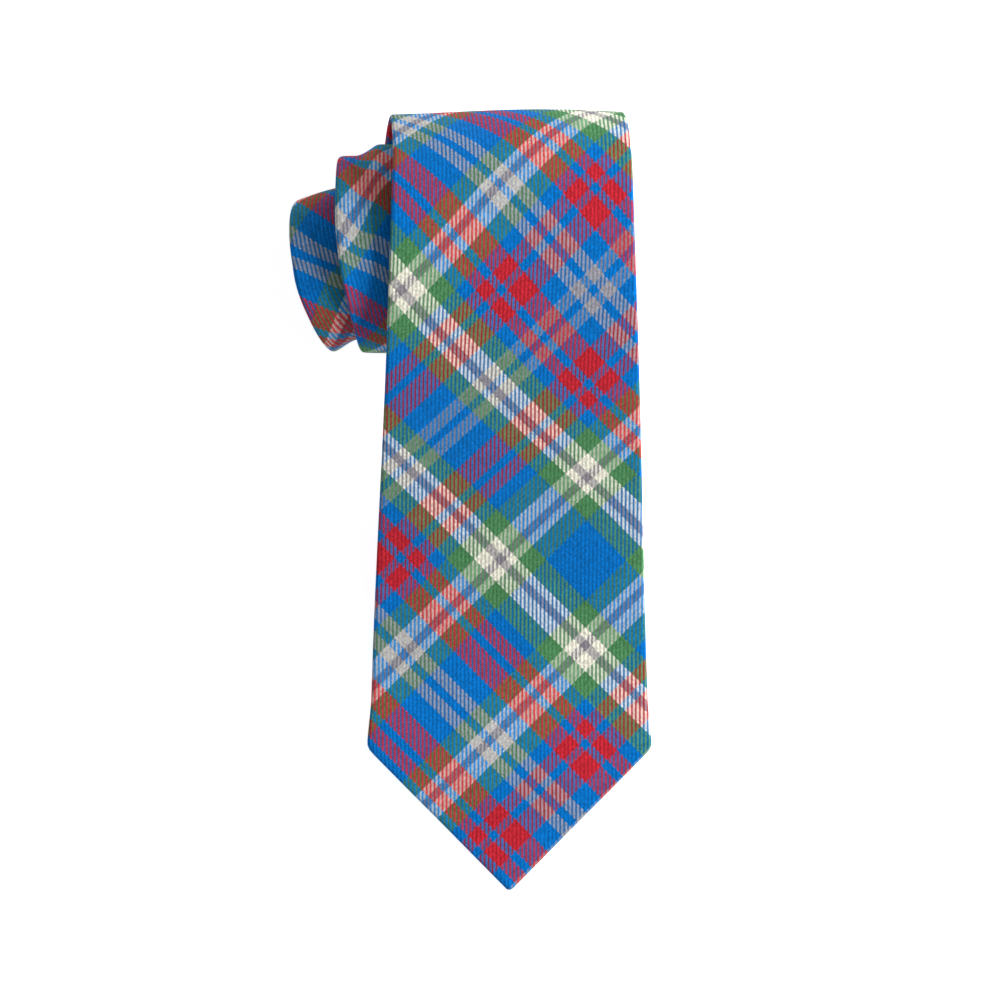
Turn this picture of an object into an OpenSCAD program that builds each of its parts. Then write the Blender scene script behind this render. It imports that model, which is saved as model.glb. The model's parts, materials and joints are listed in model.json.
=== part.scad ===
// Rolled necktie. The tie is folded in half, back to back, and rolled up from the fold.
// The front blade leaves the top of the roll and comes down to the table, face up.
// The inner turns have slid out to the left. X runs across the blade, +Y runs from the
// blade's point to the roll, and the table is at z = 0.

/* [Blade] */
// Widest part of the front blade
blade_w = 76; // [64:1:90]
// How much the blade narrows for each millimetre of its length
taper = 0.066; // [0.05:0.002:0.08]
// Width at the neck
neck_w = 36; // [32:1:40]
// Width of the tail
tail_w = 42; // [38:1:50]
// Distance from the blade's point to the far edge of the roll
laid_len = 208; // [200:1:230]

/* [Cloth] */
// Thickness of the finished tie
tie_t = 1.6; // [1.5:0.02:1.62]
// Air between the two halves of the tie
ply_gap = 0.12; // [0.1:0.01:0.16]

/* [Roll] */
// Height of the roll
roll_h = 48; // [44:0.5:50]
// Length of the roll along Y
roll_len = 65; // [62:0.5:70]
// Turns of the roll
turns = 4.75; // [4:0.25:4.75]
// Height and depth that each turn takes
turn_step = 3.7; // [3.65:0.01:3.9]

/* [Hidden] */

blue = "#1c6fc2";
wool = "#e4dfd2";
lining = "#2b5f9e";
thread = "#2a3f66";
woven = "#20355c";
tape = "#f2efe8";

// Heights of the plies in the tie's own thickness: 0 is its middle, + is its face
face_h = tie_t / 2;
face_in = 0.44;
wool_hi = 0.40;
wool_lo = 0;
lining_hi = -0.06;
lining_lo = -0.30;
back_in = -0.44;
back_h = -tie_t / 2;

pitch = tie_t + ply_gap;
half_pitch = pitch / 2;
table_mid = tie_t + ply_gap / 2;
ring_step = 15;
corner_s = blade_w / 2;
tip_w = 4;
hem = 11;
seam_s = 95;
tail_seam_s = 60;
slit = 0.15;
hinge_y = 138;
hinge_gap = 0.3;
front_land = 48;
tail_land = 58;
tail_end = 32;
drop_len = 18;
neck_turn = 2.8;
// Stations from the tail's point to the start of its seam
tail_open = 7;

// How far each turn has slid sideways: turn number, then shift
drift = [
    [0, 0], [0.12, 0], [0.25, -1.2], [0.5, -5], [0.75, -10.5], [0.98, -16], [1.1, -19],
    [1.2, -19.5], [1.35, -18], [1.6, -18.5], [1.75, -21], [1.87, -27], [1.97, -32.5],
    [2.07, -36], [2.17, -36.5], [2.3, -34], [2.5, -30], [2.8, -26], [3.3, -24], [5, -23]
];

function smooth(t) = let (c = min(1, max(0, t))) c * c * (3 - 2 * c);
function ease(t) = 0.5 - 0.5 * cos(180 * min(1, max(0, t)));
function power(v, p) = sign(v) * pow(abs(v), p);

// Outer limits of the roll at turn n: far, near, top and bottom
function roll_far(n) = laid_len - turn_step * (n - 0.25) - 9 * smooth((n - 0.25) / 2);
function roll_near(n) = laid_len - roll_len + turn_step * (n - 0.75);
function roll_top(n) = roll_h - turn_step * n;
function roll_bottom(n) = turn_step * (n - 0.5);

// The line between the two halves of the tie, at turn n of the roll
function coil_mid(n) = let (
        far = roll_far(n) - table_mid,
        near = roll_near(n) + table_mid,
        top = roll_top(n) - table_mid,
        bottom = roll_bottom(n) + table_mid,
        p = 2 / (2 + 0.3 * max(0, 1 - n / 5))
    ) [
        (far + near) / 2 + (far - near) / 2 * power(sin(360 * n), p),
        (top + bottom) / 2 + (top - bottom) / 2 * power(cos(360 * n), p)
    ];

crest = coil_mid(0);
function free_mid(y, land) =
    [y, table_mid + (crest[1] - table_mid) * ease((y - land) / (crest[0] - land))];

front_ys = concat(
    [0, 3, 14, 26, tail_end, corner_s, 46, 54, 62, 70, 78, 87, seam_s, 103, 110, 117, 122, 127],
    [132, hinge_y, hinge_y + hinge_gap, 145, 152, 156, 160, 165, 170]
);
tail_ys = [tail_end, tail_end + 3, tail_end + 11, tail_end + tail_w / 2, tail_land, 66, 75, 86,
    98, 110, 122, 134, 140, 146, 152, 156, 160, 165, 170];
coil = [for (a = [0:ring_step:360 * turns]) coil_mid(a / 360)];
coil_turn = [for (a = [0:ring_step:360 * turns]) a / 360];

function unit(v) = v / norm(v);
function normals(p) = [
    for (i = [0:len(p) - 1])
        let (t = unit(p[min(i + 1, len(p) - 1)] - p[max(i - 1, 0)])) [-t[1], t[0]]
];

// A station is [middle of the tie, direction of its face, sideways shift]
front_mid = concat([for (y = front_ys) free_mid(y, front_land)], coil);
front_turn = concat([for (y = front_ys) 0], coil_turn);
front_n = normals(front_mid);
front = [
    for (i = [0:len(front_mid) - 1])
        let (drop = pitch * smooth((tail_end - front_mid[i][0]) / drop_len))
            [front_mid[i] + front_n[i] * half_pitch - [0, drop], front_n[i],
                lookup(front_turn[i], drift)]
];
tail_mid = concat([for (y = tail_ys) free_mid(y, tail_land)], coil);
tail_turn = concat([for (y = tail_ys) 0], coil_turn);
tail_n = normals(tail_mid);
tail_out = [
    for (i = [0:len(tail_mid) - 1])
        [tail_mid[i] - tail_n[i] * half_pitch, -tail_n[i], lookup(tail_turn[i], drift)]
];
tail = [for (i = [len(tail_out) - 1:-1:0]) tail_out[i]];

// The fold at the heart of the roll
core = front_mid[len(front_mid) - 1];
core_n = front_n[len(front_n) - 1];
core_t = [core_n[1], -core_n[0]];
fold = [
    for (a = [45:45:135])
        let (d = core_n * cos(a) + core_t * sin(a))
            [core + d * half_pitch, d, lookup(turns, drift)]
];

path = concat(front, fold, tail);
run = [
    for (i = 0, s = 0; i < len(path);
        s = s + (i < len(path) - 1 ? norm(path[i + 1][0] - path[i][0]) : 0), i = i + 1) s
];
total = run[len(run) - 1];

hinge_i = search(hinge_y, front_ys)[0];
neck_i = len(front_ys) + ceil(neck_turn * 360 / ring_step);
tail_i = len(path) - 1 - len(tail_ys) - ceil(neck_turn * 360 / ring_step);
last_i = len(path) - 1;
crest_i = last_i - len(tail_ys);

function from_point(s) = min(s, total - s);
function is_tail(s) = s > total / 2;
function corner(s) = is_tail(s) ? tail_w / 2 : corner_s;
function widest(s) = is_tail(s) ? tail_w : blade_w;
function narrowing(s) = is_tail(s) ? 0.02 : taper;
function width(s) = let (d = from_point(s))
    d < corner(s) ? tip_w + (widest(s) - tip_w) * d / corner(s)
        : max(neck_w, widest(s) - narrowing(s) * (d - corner(s)));

// Half of the opening between the two back flaps. It shows the lining near the point,
// and closes to the slit of the back seam
function opening(s) = let (
        d = from_point(s),
        seam = is_tail(s) ? tail_seam_s : seam_s,
        close = d < corner(s) ? 1 : max(0, 1 - (d - corner(s)) / (seam - corner(s)))
    ) max(slit, (width(s) / 2 - hem) * close);

// Cross sections, as [across, through the thickness]
function shell_section(s) = let (w = width(s) / 2, o = opening(s)) [
        [o, back_h], [w - 0.6, back_h], [w, 0], [w - 0.6, face_h],
        [0.6 - w, face_h], [-w, 0], [0.6 - w, back_h], [-o, back_h],
        [-o, back_in], [0.8 - w, back_in], [0.36 - w, 0], [0.8 - w, face_in],
        [w - 0.8, face_in], [w - 0.36, 0], [w - 0.8, back_in], [o, back_in]
    ];
function slab(x0, x1, lo, hi) = [[x0, lo], [x1, lo], [x1, hi], [x0, hi]];
function wool_section(s) = let (w = width(s) / 2 - 1.2) slab(-w, w, wool_lo, wool_hi);
function lining_section(s) = let (w = width(s) / 2 - 1) slab(-w, w, lining_lo, lining_hi);
function stitch_section(s) = slab(-0.1, 0.1, back_h, -0.6);

leftmost = min([for (i = [0:last_i]) path[i][2] - width(run[i]) / 2]);
origin = [(leftmost + blade_w / 2) / 2, laid_len / 2, 0];

function at(i, q) = let (st = path[i], c = st[0] + st[1] * q[1])
    [st[2] + q[0], c[0], c[1]] - origin;

// Sweeps one cross section per station, from station a to station b. A hollow section goes
// round its outside and comes back round its inside, so its ends are capped in pairs of points
module sweep(a, b, sections, hollow = false) {
    m = len(sections[0]);
    n = b - a + 1;
    points = [for (i = [0:n - 1]) for (q = sections[i]) at(a + i, q)];
    sides = [
        for (i = [0:n - 2]) for (j = [0:m - 1])
            let (p = i * m + j, q = i * m + (j + 1) % m)
                each [[p, q, q + m], [p, q + m, p + m]]
    ];
    caps = hollow ? [for (k = [0:m / 2 - 2]) [k, k + 1, m - 2 - k, m - 1 - k]]
        : [[for (j = [0:m - 1]) j]];
    first = [for (c = caps) [for (j = [len(c) - 1:-1:0]) c[j]]];
    last = [for (c = caps) [for (j = c) (n - 1) * m + j]];
    polyhedron(points, concat(sides, first, last), convexity = 10);
}

module shell(a, b) sweep(a, b, [for (i = [a:b]) shell_section(run[i])], hollow = true);
module wool_strip(a, b) sweep(a, b, [for (i = [a:b]) wool_section(run[i])]);
module lining_strip(a, b) sweep(a, b, [for (i = [a:b]) lining_section(run[i])]);
module stitch_line(a, b) sweep(a, b, [for (i = [a:b]) stitch_section(run[i])]);

function station(y) = search(y, front_ys)[0];

module front_shell() color(blue) shell(0, hinge_i);
module front_shell_rolled() color(blue) shell(hinge_i + 1, neck_i);
module neck_shell() color(blue) shell(neck_i, tail_i);
module tail_shell_rolled() color(blue) shell(tail_i, crest_i);
module tail_shell() color(blue) shell(crest_i, last_i);

module front_interlining() color(wool) wool_strip(1, hinge_i);
module interlining_rolled() color(wool) wool_strip(hinge_i + 1, tail_i);
module tail_interlining() color(wool) wool_strip(tail_i, last_i - 1);

module front_tipping() color(lining) lining_strip(1, station(seam_s));
module tail_tipping() color(lining) lining_strip(last_i - tail_open, last_i - 1);

module front_slip_stitch() color(thread) stitch_line(station(103), hinge_i);
module slip_stitch() color(thread) stitch_line(hinge_i + 1, last_i - tail_open - 1);

module flat_strip(a, b, section) sweep(a, b, [for (i = [a:b]) section]);

// A small piece laid on the back at station i, dx across and dy along the blade
module on_back(i, dx, dy) {
    st = path[i];
    back = st[0] + st[1] * back_h;
    translate([dx, back[0], back[1]] - [origin[0], origin[1], 0])
        rotate([atan2(st[1][1], st[1][0]) - 90, 0, 0]) translate([0, dy, 0]) children();
}

module bar_tack(size) translate([-size[0] / 2, -size[1] / 2, -size[2] - 0.02]) cube(size);

module front_bar_tack() color(thread) on_back(station(seam_s), 0, 0) bar_tack([9, 1.6, 0.35]);
module tail_bar_tack() color(thread) on_back(last_i - tail_open, 0, 0)
    translate([0, 0, -0.04]) bar_tack([6, 1.4, 0.3]);

module label() color(woven)
    flat_strip(station(103), station(117), slab(-22, 22, back_h - 0.34, back_h - 0.04));
label_corners = [for (x = [-20, 20]) for (y = [-5.6, 5.6]) [x, y]];
module label_tacks() color(thread)
    for (c = label_corners) on_back(station(110), c[0], c[1])
        translate([0, 0, -0.4]) bar_tack([3, 0.5, 0.2]);

module size_tag() color(tape)
    flat_strip(station(103), station(117), slab(24, 33, back_h - 0.3, back_h - 0.04));
module size_tag_tack() color(thread)
    on_back(station(110), 28.5, 5.6) translate([0, 0, -0.4]) bar_tack([7, 0.5, 0.2]);

keeper_section = [
    [-23, -0.84], [-23, -1.5], [-18, -2.1], [18, -2.1], [23, -1.5], [23, -0.84],
    [20, -0.84], [18.5, -1.3], [16, -1.6], [-16, -1.6], [-18.5, -1.3], [-20, -0.84]
];
module keeper_loop() color(blue)
    sweep(station(122), station(132), [for (i = [0:2]) keeper_section], hollow = true);
module keeper_tacks() color(thread)
    for (x = [-24.2, 24.2]) on_back(station(127), x, 0) translate([0, 0, -0.12]) bar_tack([1.8, 7, 0.3]);

loop_r = 3;
module spare_thread_loop() color(thread)
    on_back(station(87), 0, 0) translate([0, 0, -0.25])
        rotate_extrude($fn = 32) translate([loop_r, 0]) circle(d = 0.4, $fn = 16);

front_shell();
front_interlining();
front_tipping();
front_slip_stitch();
front_bar_tack();
keeper_loop();
keeper_tacks();
label();
label_tacks();
size_tag();
size_tag_tack();
spare_thread_loop();
front_shell_rolled();
neck_shell();
tail_shell_rolled();
tail_shell();
interlining_rolled();
tail_interlining();
tail_tipping();
slip_stitch();
tail_bar_tack();
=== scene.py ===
"""The looks of a rolled checked necktie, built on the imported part's frame."""

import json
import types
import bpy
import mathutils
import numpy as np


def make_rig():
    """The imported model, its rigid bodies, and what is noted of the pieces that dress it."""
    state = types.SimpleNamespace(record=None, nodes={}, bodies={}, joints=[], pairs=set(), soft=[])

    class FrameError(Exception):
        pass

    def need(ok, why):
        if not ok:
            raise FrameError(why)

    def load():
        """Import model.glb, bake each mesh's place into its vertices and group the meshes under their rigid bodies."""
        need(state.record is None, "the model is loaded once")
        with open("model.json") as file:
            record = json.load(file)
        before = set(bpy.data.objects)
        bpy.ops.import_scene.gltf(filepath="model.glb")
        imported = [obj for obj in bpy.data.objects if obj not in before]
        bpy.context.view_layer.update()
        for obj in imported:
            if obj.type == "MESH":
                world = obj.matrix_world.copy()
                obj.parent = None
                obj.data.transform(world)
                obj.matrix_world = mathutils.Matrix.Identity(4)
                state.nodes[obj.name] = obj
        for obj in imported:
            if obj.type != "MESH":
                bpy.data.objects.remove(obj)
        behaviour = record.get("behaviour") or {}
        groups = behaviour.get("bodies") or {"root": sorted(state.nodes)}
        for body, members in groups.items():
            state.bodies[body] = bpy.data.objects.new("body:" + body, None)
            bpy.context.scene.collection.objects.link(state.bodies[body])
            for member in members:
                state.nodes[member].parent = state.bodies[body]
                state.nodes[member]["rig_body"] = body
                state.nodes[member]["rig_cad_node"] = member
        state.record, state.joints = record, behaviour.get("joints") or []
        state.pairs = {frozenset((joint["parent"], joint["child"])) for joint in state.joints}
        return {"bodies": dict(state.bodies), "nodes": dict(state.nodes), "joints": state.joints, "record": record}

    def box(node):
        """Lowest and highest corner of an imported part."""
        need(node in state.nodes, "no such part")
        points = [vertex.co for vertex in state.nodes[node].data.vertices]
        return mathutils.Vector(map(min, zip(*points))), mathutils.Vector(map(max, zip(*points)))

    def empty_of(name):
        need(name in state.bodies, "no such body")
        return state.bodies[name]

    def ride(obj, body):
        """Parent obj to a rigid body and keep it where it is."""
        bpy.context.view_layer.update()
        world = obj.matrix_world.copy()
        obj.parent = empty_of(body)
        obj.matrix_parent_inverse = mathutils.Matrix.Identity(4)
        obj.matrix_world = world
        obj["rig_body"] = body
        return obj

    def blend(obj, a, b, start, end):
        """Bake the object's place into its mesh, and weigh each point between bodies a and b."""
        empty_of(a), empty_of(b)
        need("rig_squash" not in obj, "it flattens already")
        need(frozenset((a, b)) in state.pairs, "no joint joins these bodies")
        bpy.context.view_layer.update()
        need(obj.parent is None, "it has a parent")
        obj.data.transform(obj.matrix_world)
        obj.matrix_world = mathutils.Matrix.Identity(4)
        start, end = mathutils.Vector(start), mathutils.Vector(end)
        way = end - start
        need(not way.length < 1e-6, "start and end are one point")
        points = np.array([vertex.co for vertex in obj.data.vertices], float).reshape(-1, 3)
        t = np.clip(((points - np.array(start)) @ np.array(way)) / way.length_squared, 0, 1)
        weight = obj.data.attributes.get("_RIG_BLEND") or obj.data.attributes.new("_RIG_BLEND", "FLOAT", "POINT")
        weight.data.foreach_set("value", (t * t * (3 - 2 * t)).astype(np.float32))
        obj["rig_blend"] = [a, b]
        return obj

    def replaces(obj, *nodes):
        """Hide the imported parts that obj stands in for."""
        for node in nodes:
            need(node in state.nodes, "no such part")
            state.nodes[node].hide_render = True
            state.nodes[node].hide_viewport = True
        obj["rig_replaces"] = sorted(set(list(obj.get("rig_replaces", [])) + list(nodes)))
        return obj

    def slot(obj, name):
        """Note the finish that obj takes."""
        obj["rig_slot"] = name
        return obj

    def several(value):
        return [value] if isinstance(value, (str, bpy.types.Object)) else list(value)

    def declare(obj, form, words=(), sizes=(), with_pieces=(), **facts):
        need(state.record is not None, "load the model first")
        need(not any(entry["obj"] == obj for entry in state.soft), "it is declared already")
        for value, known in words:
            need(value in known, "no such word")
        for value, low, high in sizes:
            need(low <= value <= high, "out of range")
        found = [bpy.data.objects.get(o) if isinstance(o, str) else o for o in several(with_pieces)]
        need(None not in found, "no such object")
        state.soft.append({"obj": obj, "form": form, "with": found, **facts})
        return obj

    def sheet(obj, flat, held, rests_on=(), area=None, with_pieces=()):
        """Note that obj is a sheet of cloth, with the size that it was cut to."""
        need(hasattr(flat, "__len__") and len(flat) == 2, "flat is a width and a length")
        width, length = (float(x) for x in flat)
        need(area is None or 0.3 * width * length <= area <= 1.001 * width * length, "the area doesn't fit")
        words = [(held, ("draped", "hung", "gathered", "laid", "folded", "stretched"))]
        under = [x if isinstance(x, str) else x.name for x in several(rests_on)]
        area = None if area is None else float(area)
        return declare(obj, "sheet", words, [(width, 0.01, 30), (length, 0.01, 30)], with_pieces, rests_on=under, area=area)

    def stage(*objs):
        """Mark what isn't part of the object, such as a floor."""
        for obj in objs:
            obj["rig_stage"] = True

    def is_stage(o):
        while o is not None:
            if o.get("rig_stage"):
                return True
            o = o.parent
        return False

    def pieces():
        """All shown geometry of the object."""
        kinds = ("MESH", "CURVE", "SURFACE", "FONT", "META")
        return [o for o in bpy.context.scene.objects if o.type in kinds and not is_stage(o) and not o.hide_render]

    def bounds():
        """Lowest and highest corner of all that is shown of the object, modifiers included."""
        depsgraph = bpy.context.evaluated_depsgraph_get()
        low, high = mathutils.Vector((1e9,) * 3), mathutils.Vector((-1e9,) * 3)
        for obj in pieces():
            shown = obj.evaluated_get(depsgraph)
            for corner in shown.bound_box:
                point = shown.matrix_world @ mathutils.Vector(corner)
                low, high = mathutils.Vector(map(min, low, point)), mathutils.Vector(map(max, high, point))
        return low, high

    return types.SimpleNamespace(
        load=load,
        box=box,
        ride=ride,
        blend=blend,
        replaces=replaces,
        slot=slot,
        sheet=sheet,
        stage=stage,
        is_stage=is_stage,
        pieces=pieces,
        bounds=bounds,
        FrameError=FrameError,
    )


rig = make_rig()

bl_info = {
    "name": "Rolled necktie",
    "version": (1, 0, 0),
    "blender": (4, 5, 0),
    "location": "3D View > Sidebar > Necktie",
    "description": "Twill, lining, thread and trimmings of a folded and rolled necktie",
    "category": "Object",
}

import json
import math

import bpy
import numpy as np
from bpy.props import FloatProperty, FloatVectorProperty, PointerProperty
from bpy.types import Operator, Panel, PropertyGroup

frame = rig.load()
CAD_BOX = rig.bounds()

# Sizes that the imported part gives, in millimetres
MM = 1000
BLADE_LO, BLADE_HI = (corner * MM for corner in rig.box("front_shell"))
BLADE_W = BLADE_HI.x - BLADE_LO.x
MIDDLE_X = (BLADE_LO.x + BLADE_HI.x) / 2
TIP_Y = BLADE_LO.y
ROLL_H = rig.box("front_shell_rolled")[1].z * MM
LAID_LEN = (CAD_BOX[1].y - CAD_BOX[0].y) * MM
TAIL_END = (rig.box("tail_shell")[0].y - CAD_BOX[0].y) * MM
LIFT = next(j for j in frame["joints"] if j["name"] == "front_blade_lift")

# How far each turn of the roll has slid sideways: turn number, then shift in millimetres
SLIDE = np.array([
    (0, 0.8), (0.12, 0.8), (0.25, -0.8), (0.5, -5), (0.75, -10.5), (0.86, -13.2), (0.94, -16),
    (1.03, -19.2), (1.1, -19.5), (1.2, -19.5), (1.35, -18.5), (1.6, -19.5), (1.75, -22.8),
    (1.87, -28.8), (1.97, -34), (2.07, -36.2), (2.17, -36.3), (2.3, -34), (2.5, -30),
    (2.8, -26), (3.3, -24), (5, -23),
])

# How much further the cloth runs than its check shows, at a distance from the blade's point
EASED_IN = np.array([
    (0, 0), (60, 0), (83, 1.1), (104, 3.5), (125, 4.6), (139, 5.1), (161, 6.4), (174, 7.4),
    (197, 9.8), (210, 9.8), (222, 8.3), (300, 8.7), (370, 8.5), (500, 12.6), (1500, 12.6),
])

# Where the roll gives, in millimetres: the outer turn's left edge across the tie, the roll's near
# side from the blade's point, and the height that its slid-out turns slim down to
SLID_X = -32
NEAR_Y = 150
LOW_Z = 12

# The check, from the middle of its wide blue stripe outwards: colour, then number of threads.
# It mirrors at both ends
SETT = (
    ("blue", 20), ("green", 14), ("cream", 6), ("grey", 6), ("cream", 10), ("green", 14),
    ("blue", 10), ("red", 10), ("blue", 6), ("red", 16), ("blue", 14), ("lavender", 10),
    ("blue", 3),
)


def linear(hex_colour):
    """A colour such as "#1c73c5", as linear RGB."""
    parts = [int(hex_colour[i:i + 2], 16) / 255 for i in (1, 3, 5)]
    return [c / 12.92 if c <= 0.04045 else ((c + 0.055) / 1.055) ** 2.4 for c in parts]


def length(name, millimetres, description):
    return FloatProperty(
        name=name, description=description, default=millimetres / MM, min=0, unit="LENGTH",
        precision=5,
    )


def colour(name, hex_colour, description):
    return FloatVectorProperty(
        name=name, description=description, default=linear(hex_colour), size=3, min=0, max=1,
        subtype="COLOR",
    )


class NecktieSizes(PropertyGroup):
    """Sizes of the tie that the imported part's boxes don't give"""

    thickness: length("Thickness", 1.6, "Thickness of the finished tie")
    ply_gap: length("Gap between halves", 0.12, "Air between the two halves of the folded tie")
    cloth: length("Cloth thickness", 0.34, "Thickness of one layer of the twill")
    neck_w: length("Neck width", 36, "Width of the tie where it goes round the neck")
    tail_w: length("Tail width", 42, "Widest part of the tail")
    hem: length("Hem", 11, "Width of twill turned in round each point")
    overlap: length("Seam overlap", 12, "How far the back edges lap over each other")
    front_seam: length("Front seam start", 95, "Distance from the blade's point to the back seam")
    tail_seam: length("Tail seam start", 60, "Distance from the tail's point to the back seam")
    front_land: length("Front landing", 48, "Where the front blade leaves the table")
    tail_land: length("Tail landing", 58, "Where the tail leaves the table")
    tail_drop: length("Drop past the tail", 18, "Length over which the blade drops past the tail")
    flare: length("Flare", 0.7, "How far the corners of the front point stand out past its sides")
    roll_len: length("Roll length", 65, "Outer length of the roll")
    turn_step: length("Turn step", 3.7, "Height and depth that each turn takes")
    taper: FloatProperty(
        name="Blade taper", description="How much the blade narrows per millimetre",
        default=0.066, min=0, max=0.2,
    )
    turns: FloatProperty(
        name="Turns", description="Turns of the roll", default=4.75, min=1, max=6,
    )
    neck_turn: FloatProperty(
        name="Neck seam turn", description="Turn at which the neck piece is joined on",
        default=2.8, min=1, max=4,
    )


class NecktieCloth(PropertyGroup):
    """Colours and weave of the tie's materials"""

    thread: length("Thread spacing", 0.3755, "Distance between neighbouring threads of the twill")
    along_start: length("Stripe start, rising", 3.23, "Place of the wide blue stripe that rises left")
    across_start: length("Stripe start, falling", 25.33, "Place of the wide blue stripe that rises right")
    blue: colour("Blue", "#037dc9", "Bright blue ground thread")
    green: colour("Green", "#5a9565", "Leaf green thread")
    cream: colour("Cream", "#eae8db", "Undyed cream thread")
    grey: colour("Grey", "#97939a", "Grey line between the cream stripes")
    red: colour("Red", "#c72e3d", "Red thread")
    lavender: colour("Lavender grey", "#a4a4ac", "Pale lavender grey thread")
    lining: colour("Lining", "#2b5f9e", "Satin lining behind the points")
    wool: colour("Interlining", "#e4dfd2", "Undyed wool interlining")
    sewing: colour("Sewing thread", "#2a3f66", "Navy sewing thread")
    label: colour("Label", "#20355c", "Ground of the woven label")
    label_edge: colour("Label border", "#b9c0cc", "Border threads of the woven label")
    tape: colour("Tag tape", "#f2efe8", "White satin tape of the size tag")


class NecktieStage(PropertyGroup):
    """Table, light and camera"""

    opal: colour("Table top", "#f6f6f5", "White top of the light table under the tie")
    glow: FloatProperty(
        name="Table glow", description="Strength of the light that the table gives", default=0.75,
        min=0,
    )
    view_w: length("View width", 266.67, "Width of the table that the camera takes in")
    view_x: length("View centre", 7.8, "How far right of the part's origin the camera looks")
    camera_h: length("Camera height", 10000, "Height of the camera over the table")
    sky: FloatProperty(
        name="Room light", description="Strength of the light from all round", default=0.34, min=0,
    )
    lamp: FloatProperty(
        name="Lamp power", description="Power of the soft box right of the table", default=39,
        min=0, unit="POWER",
    )


def smooth(t):
    t = np.clip(t, 0, 1)
    return t * t * (3 - 2 * t)


def in_roll(y):
    """0 at the free blade, and 1 in the roll."""
    return smooth((y - 110) / 30)


def spread(values, reach):
    """Values with each one averaged with its neighbours."""
    kernel = np.hanning(2 * reach + 3)[1:-1]
    padded = np.pad(values, reach, mode="edge")
    return np.convolve(padded, kernel / kernel.sum(), mode="valid")


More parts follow.
